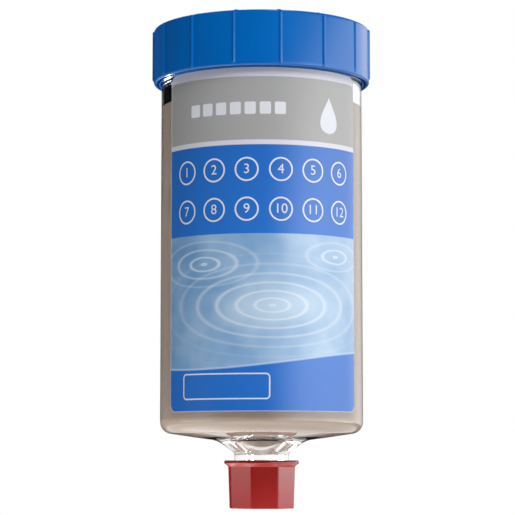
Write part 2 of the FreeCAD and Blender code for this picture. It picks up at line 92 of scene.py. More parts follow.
# Container wall, label and piston, in millimetres
BODY_R = 25.0
WALL = 2.4
CORNER_ROUND = 3.0
INNER_CORNER_ROUND = 1.8
COLLAR_SEAT_STEP = 0.35
BEAD_HEIGHT = 0.5
BEAD_WIDTH = 1.6
BEAD_BELOW_RIM = 3.2
BEAD_CLEARANCE = 0.25
RIM_Z = 111.0
LABEL_THICKNESS = 0.08
LABEL_BED = 0.02
LABEL_LEFT_DEG = -61.0
LABEL_RIGHT_DEG = 63.4
LABEL_CORNER_R = 2.2
LABEL_MARGIN = 0.12
WETTED = 0.02
DRY_R = 15.0
DRY_GAP = 0.05
GREASE_PISTON_GAP = 0.3
PISTON_DISH = 1.35
NOSE_R = 4.5
NOSE_TIP_R = 2.25
NOSE_HEIGHT = 2.4

# Top ring, in millimetres
RING_R = 26.94
RING_WALL = 1.7
RING_FLANGE = 3.0
RING_FLANGE_REACH = 5.05
RING_FOOT = 0.15
RING_FOOT_WIDTH = 0.45
RING_GROOVE_REACH = 0.95
RING_GROOVE_DEPTH = 2.0
RING_BOTTOM_ROUND = 0.5
RING_CHAMFER = 1.0
RIBS = 15
RIB_FIRST_DEG = 9.6
RIB_HALF_WIDTH = 0.5
RIB_HEIGHT = 0.38
RIB_FADE = 0.35
RING_TOP_ROUND = 0.3
NUB_INSET = 1.95
NUB_LENGTH = 2.4
NUB_WIDTH = 1.2
NUB_HEIGHT = 0.9
NUB_RISE = 0.6
NUB_ROUND = 0.3

# Outlet plug, in millimetres
PLUG_BORE_R = 6.511
PLUG_SIDES = 8
PLUG_TURN_DEG = 5.4
PLUG_FLAT_R = 7.651
PLUG_DRAFT = 0.325
PLUG_FLANGE_R = 9.196
PLUG_FLANGE = 0.7
PLUG_FLARE = 0.8
PLUG_BOTTOM_Z = -1.6
PLUG_BORE_Z = -0.6
PLUG_EDGE_ROUND = 0.15
PLUG_FLARE_ROUND = 0.25
PLUG_RIM_ROUND = 0.4
PLUG_BORE_ROUND = 0.3
PLUG_GROOVE = 0.55
PLUG_GROOVE_END = 0.2
PLUG_CORNER_POWER = 90.0

# Dial scale, in millimetres
SCALE_STEPS = 13
SCALE_STEP_DEG = 27.5
SCALE_NUMBER_R = 17.2
SCALE_NUMBER_SIZE = 2.7
SCALE_TICK = (0.4, 14.75, 15.55)

# Label print: heights above the outlet and places across the label, in millimetres
FOOT_EDGE = 34.0
FOOT_SWELL = 2.4
PICTURE_TOP = 63.5
BLUE_TOP = 84.75
GREY_BOTTOM = 85.9
GREY_TOP = 101.2
RIPPLES = ((2.0, 46.5, 34.0), (-15.0, 56.5, 19.0), (19.0, 58.5, 13.0))
RIPPLE_FLATTENING = 2.5
RIPPLE_SPACING = 3.1
MONTHS_AT = (-20.5, 8.2, 78.9, 69.4)
MONTH_R = 2.9
MONTH_SIZE = 3.3
LEVEL_AT = (-19.0, 3.6, 93.6)
LEVEL_SIZE = (2.7, 3.0)
DROP_AT = (17.0, 92.6)
DROP_SIZE = (3.0, 4.4)
DROP_TAPER = 1.5
DROP_FULLNESS = 1.25
PANEL_BOX = (-21.5, 1.5, 24.4, 30.6)
PRINT_LINE = 0.4
PRINT_EDGE = 0.12
PRINT_LIFT = 0.006
PRINT_CUT = 0.6

# Studio: places in metres, heights on the sky as sines, light levels as shares of white
FLOOR_Z = -0.060
FLOOR_R = 0.25
FLOOR_GLOW = 0.2
FLOOR_LIFT = 0.25
POOL_AT = (-0.035, 0.015)
POOL_R = 0.11
POOL_GLOW = 2.4
GLOW = 3.5
GLOW_START_DEG = 0.0
GLOW_FULL_DEG = 54.0
GLOW_FADES_DEG = 72.0
GLOW_FADED_DEG = 112.0
GLOW_FAR_SHARE = 0.53
GLOW_ENDS_DEG = 135.0
GLOW_ENDED_DEG = 175.0
GLOW_TOP = 0.13
GLOW_TOP_SLOPE = 0.06
GLOW_FOOT = -0.12
GLOW_SOFT_EDGE = 0.02
GLOW_DIFFUSE_SHARE = 0.45
LOW_GLOW = 3.0
LOW_GLOW_DEG = 101.0
LOW_GLOW_SPREAD = 0.15
LOW_GLOW_HEIGHT = -0.10
LOW_GLOW_HALF = 0.11
FRONT_FILL = 0.02
BACK_FILL = 0.8
TOP_FILL = 0.25
ROOM = 0.02
GROUND = 0.9
GROUND_FILL = 0.5
GROUND_FROM = -0.20
GROUND_FULL = -0.32
SIDE_FILL_RANGE = (0.1, 0.8)
TOP_FILL_RANGE = (0.2, 0.5)
DARK_FOOT = (0.12, 0.15)
DARK_TOP = (0.28, 0.24)
DARK_SIDE = (0.0, -0.05)
KEY_AZIMUTH_DEG = 23.0
KEY_ELEVATION_DEG = 47.0
KEY_DISTANCE = 1.1
KEY_SIZE = 0.5
KEY_ENERGY = 8.6
BACK_AZIMUTH_DEG = -148.0
BACK_ELEVATION_DEG = -8.0
BACK_SIZE = 0.4
BACK_ENERGY = 10.0
LEFT_CARD_DEG = -79.0
RIGHT_CARD_DEG = 101.0
CARD_ELEVATION_DEG = -12.5
CARD_DISTANCE = 0.5
CARD_WIDTH = 0.34
CARD_HEIGHT = 0.07
CARD_ENERGY = 0.17
MIDDLE_Z = 0.06

# Fine edges of the plain CAD pieces
BEVEL_SEGMENTS = 2
BEVEL_ANGLE_DEG = 30.0
LARGE_EDGE = 0.12
SMALL_EDGE = 0.05

nodes = frame["nodes"]
slot_of = {part["node"]: part["material_slot"] for part in frame["record"]["subparts"]}
body_of = {node: body for body, names in frame["record"]["behaviour"]["bodies"].items() for node in names}


def low(node):
    """Lowest corner of a node, in millimetres."""
    return np.array(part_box(node)[0]) / MM


def high(node):
    """Highest corner of a node, in millimetres."""
    return np.array(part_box(node)[1]) / MM


ring_bottom_z = low("top_ring")[2] + RING_FOOT
ring_top_z = high("top_ring")[2] - NUB_HEIGHT
label_z = low("label")[2]
label_top_z = high("label")[2]
label_height = label_top_z - label_z
label_middle = math.radians(LABEL_LEFT_DEG + LABEL_RIGHT_DEG) / 2
label_half = math.radians(LABEL_RIGHT_DEG - LABEL_LEFT_DEG) / 2
label_half_width = label_half * BODY_R


# Shapes

def smooth_step(value):
    """Rises from 0 at 0 to 1 at 1, level at both ends: 3 v squared less 2 v cubed."""
    v = np.clip(value, 0, 1)
    return v * v * (3 - 2 * v)


def quarter_round(value):
    """Rises from 0 at 0 to 1 at 1 along a quarter circle: the root of 1 less (1 - v) squared."""
    v = np.clip(value, 0, 1)
    return np.sqrt(1 - (1 - v) ** 2)


def rounded(corners, steps=7):
    """Closed outline through (radius, height) corners; a third value rounds its corner with an arc."""
    points = [np.array(corner[:2], float) for corner in corners]
    out = []
    for i, corner in enumerate(corners):
        if len(corner) == 2:
            out.append(points[i])
            continue
        to_before = points[i - 1] - points[i]
        to_after = points[(i + 1) % len(points)] - points[i]
        to_before /= np.linalg.norm(to_before)
        to_after /= np.linalg.norm(to_after)
        half = math.acos(np.clip(to_before @ to_after, -1, 1)) / 2
        bisector = (to_before + to_after) / np.linalg.norm(to_before + to_after)
        centre = points[i] + bisector * corner[2] / math.sin(half)
        start = points[i] + to_before * corner[2] / math.tan(half) - centre
        end = points[i] + to_after * corner[2] / math.tan(half) - centre
        sweep = math.atan2(start[0] * end[1] - start[1] * end[0], start @ end)
        turn = np.linspace(0, sweep, steps)[:, None]
        out.extend(centre + start * np.cos(turn) + np.array([-start[1], start[0]]) * np.sin(turn))
    return np.array(out)


def stretch(start, end, count):
    """Evenly spaced points from start up to but not including end."""
    share = np.arange(count)[:, None] / count
    return np.array(start) * (1 - share) + np.array(end) * share


def grid_mesh(name, points, close_rows, close_columns=True):
    """Mesh of a grid of points in millimetres: each cell between four neighbours is one face."""
    rows, columns = points.shape[:2]
    index = np.arange(rows * columns).reshape(rows, columns)
    if close_rows:
        index = np.vstack([index, index[:1]])
    if close_columns:
        index = np.hstack([index, index[:, :1]])
    cells = np.stack([index[:-1, :-1], index[:-1, 1:], index[1:, 1:], index[1:, :-1]], axis=-1)
    mesh = bpy.data.meshes.new(name)
    mesh.from_pydata((points.reshape(-1, 3) * MM).tolist(), [], cells.reshape(-1, 4).tolist())
    return mesh


def cleaned(mesh):
    """The mesh with the points on its axis merged and the faces that they flatten removed."""
    work = bmesh.new()
    work.from_mesh(mesh)
    bmesh.ops.remove_doubles(work, verts=work.verts, dist=1e-7)
    work.to_mesh(mesh)
    work.free()
    mesh.update()
    return mesh


def turned(name, outline, angles=None, form=None):
    """Outline carried round the axis: x is r sin a and y is -r cos a; form, if any, changes r and z."""
    if angles is None:
        angles = np.arange(256) * TURN / 256
    a, r = np.meshgrid(angles, outline[:, 0])
    z = np.repeat(outline[:, 1:], len(angles), axis=1)
    if form:
        r, z = form(a, r, z)
    points = np.stack([r * np.sin(a), -r * np.cos(a), z], axis=-1)
    return cleaned(grid_mesh(name, points, close_rows=True))


def thread_ridge(a, z, start, end):
    """Right-handed ridge from 0 to 1: a triangle wave of height less angle, eased over half a pitch."""
    phase = z / THREAD_PITCH - a / TURN
    wave = 0.5 + np.arcsin(0.97 * np.sin(TURN * phase)) / (2 * math.asin(0.97))
    ease = smooth_step((z - start) / THREAD_PITCH * 2) * smooth_step((end - z) / THREAD_PITCH * 2)
    return wave * ease


def piece(name, mesh, material, body, *replaced, sharp_deg=35.0):
    """Object, smooth but for its sharp edges, that rides on a body, if any, and stands for CAD nodes."""
    mesh.polygons.foreach_set("use_smooth", np.ones(len(mesh.polygons), bool))
    mesh.set_sharp_from_angle(angle=math.radians(sharp_deg))
    obj = bpy.data.objects.new(name, mesh)
    bpy.context.scene.collection.objects.link(obj)
    obj.data.materials.append(material)
    if body:
        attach(obj, body)
    if replaced:
        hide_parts(*replaced)
    return obj


def refined(node, width):
    """Copy of a node with its doubles merged, its flat faces joined and its edges rounded."""
    work = bmesh.new()
    work.from_mesh(nodes[node].data)
    bmesh.ops.remove_doubles(work, verts=work.verts, dist=1e-6)
    bmesh.ops.dissolve_limit(work, angle_limit=math.radians(0.5), verts=work.verts, edges=work.edges)
    mesh = bpy.data.meshes.new(node + "_form")
    work.to_mesh(mesh)
    work.free()
    obj = piece(node + "_form", mesh, finish(node), body_of[node], node)
    bevel = obj.modifiers.new("edges", "BEVEL")
    bevel.width = width * MM
    bevel.segments = BEVEL_SEGMENTS
    bevel.limit_method = "ANGLE"
    bevel.angle_limit = math.radians(BEVEL_ANGLE_DEG)
    bevel.harden_normals = True
    return obj


# Shader tools

def connect(tree, value, socket):
    """Links a socket, or sets a plain value."""
    if isinstance(value, bpy.types.NodeSocket):
        tree.links.new(value, socket)
    else:
        socket.default_value = value


def maths(tree, operation, *values, clamp=False):
    """Output of a Math node."""
    node = tree.nodes.new("ShaderNodeMath")
    node.operation = operation
    node.use_clamp = clamp
    for value, socket in zip(values, node.inputs):
        connect(tree, value, socket)
    return node.outputs[0]


def mixed(tree, share, first, second):
    """Colour between two others, by share."""
    node = tree.nodes.new("ShaderNodeMix")
    node.data_type = "RGBA"
    connect(tree, share, node.inputs[0])
    connect(tree, first, node.inputs[6])
    connect(tree, second, node.inputs[7])
    return node.outputs[2]


def ranged(tree, value, low_in, high_in, low_out=0.0, high_out=1.0, smooth=False):
    """Value carried from one range to another."""
    node = tree.nodes.new("ShaderNodeMapRange")
    node.interpolation_type = "SMOOTHSTEP" if smooth else "LINEAR"
    for number, socket in zip((value, low_in, high_in, low_out, high_out), node.inputs):
        connect(tree, number, socket)
    return node.outputs[0]


def noise(tree, vector, scale, detail=2.0, roughness=0.5):
    """Noise of a scale per metre."""
    node = tree.nodes.new("ShaderNodeTexNoise")
    connect(tree, vector, node.inputs["Vector"])
    connect(tree, scale, node.inputs["Scale"])
    node.inputs["Detail"].default_value = detail
    node.inputs["Roughness"].default_value = roughness
    return node.outputs[0]


def object_point(tree):
    """Place on the piece, in metres."""
    return tree.nodes.new("ShaderNodeTexCoord").outputs["Object"]


def rgb(red, green, blue):
    """Opaque colour."""
    return (red, green, blue, 1.0)


def new_group(name, inputs, outputs):
    """Empty node group with its named sockets; returns the group and its input and output nodes."""
    group = bpy.data.node_groups.new(name, "ShaderNodeTree")
    for socket_name, kind, value in inputs:
        socket = group.interface.new_socket(socket_name, in_out="INPUT", socket_type=kind)
        socket.default_value = value
    for socket_name, kind in outputs:
        group.interface.new_socket(socket_name, in_out="OUTPUT", socket_type=kind)
    return group, group.nodes.new("NodeGroupInput").outputs, group.nodes.new("NodeGroupOutput").inputs


def moulded_surface_group():
    """Moulded plastic: slow patches in colour and gloss, and a fine eroded grain as height."""
    group, given, result = new_group(
        "moulded surface",
        [
            ("Colour", "NodeSocketColor", rgb(0.5, 0.5, 0.5)),
            ("Patch scale", "NodeSocketFloat", 90.0),
            ("Patch shade", "NodeSocketFloat", 0.06),
            ("Grain scale", "NodeSocketFloat", 4000.0),
            ("Roughness", "NodeSocketFloat", 0.35),
            ("Roughness spread", "NodeSocketFloat", 0.08),
        ],
        [("Colour", "NodeSocketColor"), ("Roughness", "NodeSocketFloat"), ("Height", "NodeSocketFloat")],
    )
    point = object_point(group)
    patches = noise(group, point, given["Patch scale"], 3.0)
    grain = noise(group, point, given["Grain scale"], 4.0, 0.6)
    shade = maths(group, "MULTIPLY", maths(group, "SUBTRACT", patches, 0.5), given["Patch shade"])
    level = maths(group, "ADD", maths(group, "MULTIPLY", shade, 2.0), 1.0)
    scaled = group.nodes.new("ShaderNodeVectorMath")
    scaled.operation = "SCALE"
    connect(group, given["Colour"], scaled.inputs[0])
    connect(group, level, scaled.inputs["Scale"])
    connect(group, scaled.outputs[0], result["Colour"])
    uneven = maths(group, "SUBTRACT", maths(group, "ADD", patches, grain), 1.0)
    rough = maths(group, "MULTIPLY_ADD", uneven, given["Roughness spread"], given["Roughness"], clamp=True)
    connect(group, rough, result["Roughness"])
    connect(group, grain, result["Height"])
    return group


def rounded_panel_group():
    """Mask of a rectangle with rounded corners, from places across and up in millimetres."""
    floats = [
        "Across", "Up", "Centre across", "Centre up", "Half width", "Half height", "Corner radius",
        "Edge width",
    ]
    group, given, result = new_group(
        "rounded panel",
        [(name, "NodeSocketFloat", 0.1) for name in floats],
        [("Mask", "NodeSocketFloat")],
    )
    sides = (("Across", "Centre across", "Half width"), ("Up", "Centre up", "Half height"))
    outside = []
    for place, centre, half in sides:
        offset = maths(group, "ABSOLUTE", maths(group, "SUBTRACT", given[place], given[centre]))
        core = maths(group, "SUBTRACT", given[half], given["Corner radius"])
        outside.append(maths(group, "SUBTRACT", offset, core))
    squares = [maths(group, "POWER", maths(group, "MAXIMUM", side, 0.0), 2.0) for side in outside]
    corner = maths(group, "SQRT", maths(group, "ADD", *squares))
    inner = maths(group, "MINIMUM", maths(group, "MAXIMUM", *outside), 0.0)
    distance = maths(group, "SUBTRACT", maths(group, "ADD", corner, inner), given["Corner radius"])
    edges = maths(group, "DIVIDE", distance, given["Edge width"])
    connect(group, maths(group, "SUBTRACT", 0.5, edges, clamp=True), result["Mask"])
    return group


MOULDED_SURFACE = moulded_surface_group()
ROUNDED_PANEL = rounded_panel_group()


def placed_group(tree, group, **values):
    """Group node with its inputs set by name, where an underscore stands for a space."""
    node = tree.nodes.new("ShaderNodeGroup")
    node.node_tree = group
    for name, value in values.items():
        connect(tree, value, node.inputs[name.replace("_", " ")])
    return node


def new_material(name):
    """Material with an empty Principled shader; returns the material, its tree and the shader's inputs."""
    material = bpy.data.materials.new(name)
    material.use_nodes = True
    tree = material.node_tree
    shader = next(node for node in tree.nodes if node.type == "BSDF_PRINCIPLED")
    return material, tree, shader.inputs


def bumped(tree, inputs, height, distance_mm):
    """Feeds a height to the shader's normal through a Bump node."""
    node = tree.nodes.new("ShaderNodeBump")
    node.inputs["Strength"].default_value = 1.0
    node.inputs["Distance"].default_value = distance_mm * MM
    connect(tree, height, node.inputs["Height"])
    connect(tree, node.outputs[0], inputs["Normal"])


def moulded(name, colour, roughness, spread=0.08, grain_mm=0.01, metallic=0.0):
    """Moulded or rolled material with the shared grain."""
    material, tree, inputs = new_material(name)
    surface = placed_group(
        tree, MOULDED_SURFACE, Colour=rgb(*colour), Roughness=roughness, Roughness_spread=spread,
    )
    connect(tree, surface.outputs["Colour"], inputs["Base Color"])
    connect(tree, surface.outputs["Roughness"], inputs["Roughness"])
    inputs["Metallic"].default_value = metallic
    bumped(tree, inputs, surface.outputs["Height"], grain_mm)
    return material


def clear_plastic():
    """Clear moulded plastic with the faintest unevenness of its mould."""
    material, tree, inputs = new_material("clear_plastic")
    inputs["Base Color"].default_value = rgb(0.985, 0.985, 0.98)
    inputs["Transmission Weight"].default_value = 1.0
    inputs["IOR"].default_value = 1.5
    flow = noise(tree, object_point(tree), 140.0, 2.0)
    connect(tree, ranged(tree, flow, 0.3, 0.7, 0.0, 0.03), inputs["Roughness"])
    bumped(tree, inputs, flow, 0.02)
    return material


def grease():
    """Soft beige grease: slow streaks from filling, fine smears and a dull wet sheen."""
    material, tree, inputs = new_material("grease")
    point = object_point(tree)
    stretched = tree.nodes.new("ShaderNodeMapping")
    stretched.inputs["Scale"].default_value = (1.0, 1.0, 0.35)
    connect(tree, point, stretched.inputs["Vector"])
    streaks = noise(tree, stretched.outputs[0], 60.0, 4.0)
    smears = noise(tree, point, 600.0, 3.0)
    colour = mixed(tree, ranged(tree, streaks, 0.35, 0.65), rgb(0.50, 0.39, 0.31), rgb(0.55, 0.435, 0.355))
    connect(tree, colour, inputs["Base Color"])
    connect(tree, ranged(tree, smears, 0.3, 0.7, 0.38, 0.55), inputs["Roughness"])
    bumped(tree, inputs, smears, 0.03)
    return material


def ripples(tree, across, up, centre_across, centre_up, reach):
    """Distance from a point, and crests round it: a sine of the distance to the power 0.8, that fades."""
    aside = maths(tree, "SUBTRACT", across, centre_across)
    along = maths(tree, "MULTIPLY", maths(tree, "SUBTRACT", up, centre_up), RIPPLE_FLATTENING)
    squares = maths(tree, "ADD", maths(tree, "POWER", aside, 2.0), maths(tree, "POWER", along, 2.0))
    away = maths(tree, "SQRT", squares)
    turns = maths(tree, "POWER", maths(tree, "DIVIDE", away, RIPPLE_SPACING), 0.8)
    wave = maths(tree, "SINE", maths(tree, "MULTIPLY", turns, TURN))
    crest = maths(tree, "POWER", maths(tree, "MULTIPLY_ADD", wave, 0.5, 0.5), 7.0)
    return away, maths(tree, "MULTIPLY", crest, ranged(tree, away, 1.0, reach, 0.85, 0.0))


def label_print():
    """Print on the film: grey band, pale rule, blue field, rippled water and a blue foot on pale stock."""
    # Pale stock; its lavender tint is painted blue light bounced from the ring above.
    stock = rgb(0.77, 0.77, 0.86)
    grey = rgb(0.425, 0.425, 0.425)
    blue = rgb(0.028, 0.19, 0.68)
    deep_blue = rgb(0.024, 0.17, 0.62)
    pale = rgb(0.16, 0.36, 0.66)
    lightest = rgb(0.70, 0.86, 1.0)
    material, tree, inputs = new_material("label_print")
    parts = tree.nodes.new("ShaderNodeSeparateXYZ")
    connect(tree, tree.nodes.new("ShaderNodeTexCoord").outputs["UV"], parts.inputs[0])
    across = maths(tree, "MULTIPLY", maths(tree, "SUBTRACT", parts.outputs[0], 0.5), 2 * label_half_width)
    up = maths(tree, "MULTIPLY_ADD", parts.outputs[1], label_height, label_z)

    def panel(bottom, top, corner):
        """Mask of a panel across the label between two heights."""
        node = placed_group(
            tree, ROUNDED_PANEL, Across=across, Up=up, Centre_across=0.0, Centre_up=(bottom + top) / 2,
            Half_width=label_half_width - LABEL_MARGIN, Half_height=(top - bottom) / 2,
            Corner_radius=corner, Edge_width=PRINT_EDGE,
        )
        return node.outputs[0]

    def above(line):
        """Mask of what lies above a height."""
        return maths(tree, "DIVIDE", maths(tree, "SUBTRACT", up, line), PRINT_EDGE, clamp=True)

    # Ripples: a large set and two small ones on a pale surface that is lighter about the large set's
    # middle, clouded at random and darker towards the left as painted shade
    sets = [ripples(tree, across, up, *place) for place in RIPPLES]
    glow = ranged(tree, sets[0][0], 0.0, 20.0, 0.7, 0.0, smooth=True)
    cloud = ranged(tree, noise(tree, parts_vector(tree, across, up), 0.09, 2.0), 0.35, 0.65, 0.0, 0.3)
    # Random clouds, plus painted shade: the pale blue gets darker towards the left side
    cloud_and_painted_shade = maths(tree, "ADD", cloud, ranged(tree, across, -20.0, 15.0, 0.0, 0.3))
    picture = mixed(tree, glow, mixed(tree, cloud_and_painted_shade, pale, lightest), lightest)
    for _, crest in sets:
        picture = mixed(tree, crest, picture, rgb(0.82, 0.91, 1.0))

    # The foot's edge is one low swell, with a thin pale line along it
    swell = maths(tree, "SINE", maths(tree, "MULTIPLY_ADD", across, TURN / (4.2 * label_half_width), -0.55))
    edge_line = maths(tree, "MULTIPLY_ADD", swell, FOOT_SWELL, FOOT_EDGE)
    over_edge = maths(tree, "SUBTRACT", up, edge_line)
    in_picture = maths(tree, "DIVIDE", over_edge, 0.15, clamp=True)
    off_line = maths(tree, "DIVIDE", maths(tree, "ABSOLUTE", over_edge), 0.35)
    on_line = maths(tree, "SUBTRACT", 1.0, off_line, clamp=True)
    foot = mixed(tree, ranged(tree, up, 21.0, 38.0), deep_blue, blue)
    field = mixed(tree, in_picture, foot, picture)
    field = mixed(tree, maths(tree, "MULTIPLY", on_line, 0.8), field, rgb(0.62, 0.80, 0.95))
    upper = mixed(tree, ranged(tree, up, 63.0, 85.0), blue, deep_blue)
    field = mixed(tree, above(PICTURE_TOP), field, upper)
    below_grey = panel(label_z + LABEL_MARGIN, BLUE_TOP + 3.0, LABEL_CORNER_R - LABEL_MARGIN)
    colour = mixed(tree, below_grey, stock, field)
    colour = mixed(tree, above(BLUE_TOP), colour, stock)
    grey_mask = maths(tree, "MULTIPLY", panel(GREY_BOTTOM - 3.0, GREY_TOP, 1.3), above(GREY_BOTTOM))
    colour = mixed(tree, grey_mask, colour, grey)

    fibre = noise(tree, object_point(tree), 5200.0, 3.0)
    mottled = mixed(tree, maths(tree, "MULTIPLY", fibre, 0.05), colour, rgb(0.0, 0.0, 0.0))
    connect(tree, mottled, inputs["Base Color"])
    connect(tree, ranged(tree, fibre, 0.3, 0.7, 0.14, 0.2), inputs["Roughness"])
    bumped(tree, inputs, fibre, 0.002)
    return material


def parts_vector(tree, across, up):
    """Vector of two places."""
    node = tree.nodes.new("ShaderNodeCombineXYZ")
    connect(tree, across, node.inputs[0])
    connect(tree, up, node.inputs[1])
    return node.outputs[0]


MATERIALS = {
    "clear_plastic": clear_plastic(),
    "label_print": label_print(),
    "grease": grease(),
    "piston_black": moulded("piston_black", (0.006, 0.006, 0.006), 0.45),
    "seal_rubber": moulded("seal_rubber", (0.015, 0.015, 0.015), 0.6),
    "plug_red": moulded("plug_red", (0.42, 0.014, 0.011), 0.18, grain_mm=0.004),
    "ring_blue": moulded("ring_blue", (0.0, 0.145, 0.54), 0.15, 0.05, grain_mm=0.004),
    "housing_grey": moulded("housing_grey", (0.5, 0.51, 0.53), 0.45),
    "scale_white": moulded("scale_white", (0.8, 0.8, 0.79), 0.4),
    "dial_blue": moulded("dial_blue", (0.0, 0.145, 0.54), 0.15, 0.05, grain_mm=0.004),
    "print_white": moulded("print_white", (0.80, 0.82, 0.88), 0.22, grain_mm=0.001),
    "print_dark": moulded("print_dark", (0.02, 0.025, 0.04), 0.4, grain_mm=0.001),
    "pointer_white": moulded("pointer_white", (0.85, 0.85, 0.84), 0.35),
    "clip_steel": moulded("clip_steel", (0.6, 0.6, 0.6), 0.3, grain_mm=0.003, metallic=1.0),
    "contact_brass": moulded("contact_brass", (0.75, 0.58, 0.28), 0.3, grain_mm=0.003, metallic=1.0),
    "board_green": moulded("board_green", (0.02, 0.17, 0.06), 0.35),
    "chip_black": moulded("chip_black", (0.02, 0.02, 0.02), 0.5),
    "cell_steel": moulded("cell_steel", (0.66, 0.66, 0.66), 0.25, grain_mm=0.003, metallic=1.0),
    "membrane_white": moulded("membrane_white", (0.82, 0.82, 0.8), 0.75, grain_mm=0.02),
}


def finish(node):
    """Material of a node's slot."""
    return MATERIALS[slot_of[node]]


# Pieces

def container():
    """Clear shell as one closed outline, from the bore's mouth up the outside and down the inside."""
    seat_r = BODY_R - COLLAR_SEAT_STEP
    bead_z = RIM_Z - BEAD_BELOW_RIM
    chamber_r = BODY_R - WALL
    thread_rows = int(THREAD_LENGTH / THREAD_PITCH * ROWS_PER_PITCH)
    outside = rounded([
        (0.0, THREAD_LENGTH),
        (NECK_R, THREAD_LENGTH),
        (NECK_R, NECK_TOP, NECK_ROUND),
        (FLARE_R, FLARE_Z, FLARE_ROUND),
        (FLAT_R, FLAT_Z, FLAT_ROUND),
        (BODY_R, WALL_Z, CORNER_ROUND),
        (BODY_R, label_top_z),
        (seat_r, label_top_z),
        (seat_r, bead_z - BEAD_WIDTH / 2),
        (BODY_R + BEAD_HEIGHT, bead_z),
        (seat_r, bead_z + BEAD_WIDTH / 2),
        (seat_r, RIM_Z),
        (chamber_r, RIM_Z),
        (chamber_r, WALL_Z + FLOOR, INNER_CORNER_ROUND),
        (FLAT_R, FLAT_Z + FLOOR, FLOOR_BREAK_ROUND),
        (FUNNEL_R, FLAT_Z + FLOOR),
        (OUTLET_BORE_R, FLAT_Z + FLOOR - FUNNEL_DEPTH, FUNNEL_ROUND),
        (OUTLET_BORE_R, 0.0),
    ], steps=12)[1:]
    thread_top_r = THREAD_CREST_R + THREAD_LENGTH * THREAD_TAPER
    thread = stretch((THREAD_CREST_R, 0.0), (thread_top_r, THREAD_LENGTH), thread_rows)
    outline = np.vstack([thread, outside])

    def with_thread(a, r, z):
        """Radius less the depth between the ridges of the thread, on the outside below the neck."""
        on_thread = (z < THREAD_LENGTH - 1e-6) & (r > OUTLET_BORE_R + 1.0)
        depth = THREAD_DEPTH * (1 - thread_ridge(a, z, 0.0, THREAD_LENGTH))
        return np.where(on_thread, r - depth, r), z

    mesh = turned("container_shell", outline, form=with_thread)
    return piece("container_shell", mesh, finish("container"), "body", "container", sharp_deg=40.0)


def grease_fill():
    """Grease from the floor to the piston, a hair into the wall it wets; its top follows the piston."""
    wall_r = BODY_R - WALL + WETTED
    floor_z = FLAT_Z + FLOOR
    piston_z = high("grease_charge")[2]
    crown_z = piston_z - PISTON_DISH
    nose_r = NOSE_R + GREASE_PISTON_GAP
    tip_r = NOSE_TIP_R + GREASE_PISTON_GAP
    outline = rounded([
        (0.0, floor_z + DRY_GAP),
        (DRY_R, floor_z + DRY_GAP),
        (DRY_R, floor_z - WETTED),
        (FLAT_R, floor_z - WETTED, FLOOR_BREAK_ROUND),
        (wall_r, WALL_Z + FLOOR - WETTED, INNER_CORNER_ROUND),
        (wall_r, piston_z),
        (FLAT_R, crown_z),
        (nose_r, crown_z),
        (tip_r, crown_z - NOSE_HEIGHT),
        (0.0, crown_z - NOSE_HEIGHT),
    ], steps=12)
    mesh = turned("grease_fill", outline)
    obj = piece("grease_fill", mesh, finish("grease_charge"), None, "grease_charge")
    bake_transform(obj)
    return obj


def label_film():
    """Film on a grid of angle and height; the rows near its ends are shortened by its rounded corners."""
    ends = LABEL_CORNER_R * (1 - np.cos(np.linspace(0, math.pi / 2, 14)))
    between = np.linspace(LABEL_CORNER_R, label_height - LABEL_CORNER_R, 24)[1:-1]
    rows = np.concatenate([ends, between, label_height - ends[::-1]])
    from_end = np.minimum(rows, label_height - rows)
    inset = LABEL_CORNER_R * (1 - quarter_round(from_end / LABEL_CORNER_R))
    share, z = np.meshgrid(np.linspace(-1, 1, 181), rows)
    a = label_middle + share * (label_half - inset[:, None] / BODY_R)
    r = BODY_R + LABEL_THICKNESS
    points = np.stack([r * np.sin(a), -r * np.cos(a), z + label_z], axis=-1)
    mesh = grid_mesh("label_film", points, close_rows=False, close_columns=False)
    across = (a - label_middle) / (2 * label_half) + 0.5
    place = np.stack([across, z / label_height], axis=-1).reshape(-1, 2)
    corners = np.empty(len(mesh.loops), np.int32)
    mesh.loops.foreach_get("vertex_index", corners)
    mesh.uv_layers.new(name="print").data.foreach_set("uv", place[corners].ravel())
    obj = piece("label_film", mesh, finish("label"), "body", "label")
    wall = obj.modifiers.new("thickness", "SOLIDIFY")
    wall.thickness = (LABEL_THICKNESS + LABEL_BED) * MM
    wall.offset = -1.0
    return obj


def add_outlines(work, outer, inner=None):
    """Adds a filled outline, or the band between two outlines, to a flat mesh in millimetres."""
    outside = [work.verts.new((*point, 0.0)) for point in outer]
    if inner is None:
        work.faces.new(outside)
        return
    inside = [work.verts.new((*point, 0.0)) for point in inner]
    for i, vertex in enumerate(outside):
        work.faces.new((inside[i], inside[i - 1], outside[i - 1], vertex))


def circle(x, y, radius, steps=40):
    """Points round a circle, turning left."""
    a = np.arange(steps) * TURN / steps
    return np.stack([x + radius * np.cos(a), y + radius * np.sin(a)], axis=-1)


def soft_box(left, right, bottom, top, corner, steps=6):
    """Points round a rectangle with rounded corners, turning left."""
    places = ((left, bottom), (right, bottom), (right, top), (left, top))
    return rounded([(*place, corner) for place in places], steps)


def drop_outline(x, y, half_width, half_height, steps=48):
    """Points round a drop: across is sin t times a power of sin t/2, and up is cos t."""
    t = np.arange(steps) * TURN / steps
    across = np.sin(t) * np.sin(t / 2) ** DROP_TAPER * DROP_FULLNESS
    return np.stack([x - half_width * across, y + half_height * np.cos(t)], axis=-1)


def add_number(work, number, x, y, size, turn=0.0):
    """Adds a plain number in its place, then turned about the axis."""
    curve = bpy.data.curves.new("number", "FONT")
    curve.body = str(number)
    curve.size = size
    curve.align_x = "CENTER"
    curve.align_y = "CENTER"
    holder = bpy.data.objects.new("number", curve)
    mesh = bpy.data.meshes.new_from_object(holder)
    mesh.transform(Matrix.Rotation(turn, 4, "Z") @ Matrix.Translation((x, y, 0.0)))
    work.from_mesh(mesh)
    bpy.data.objects.remove(holder)
    bpy.data.curves.remove(curve)
    bpy.data.meshes.remove(mesh)


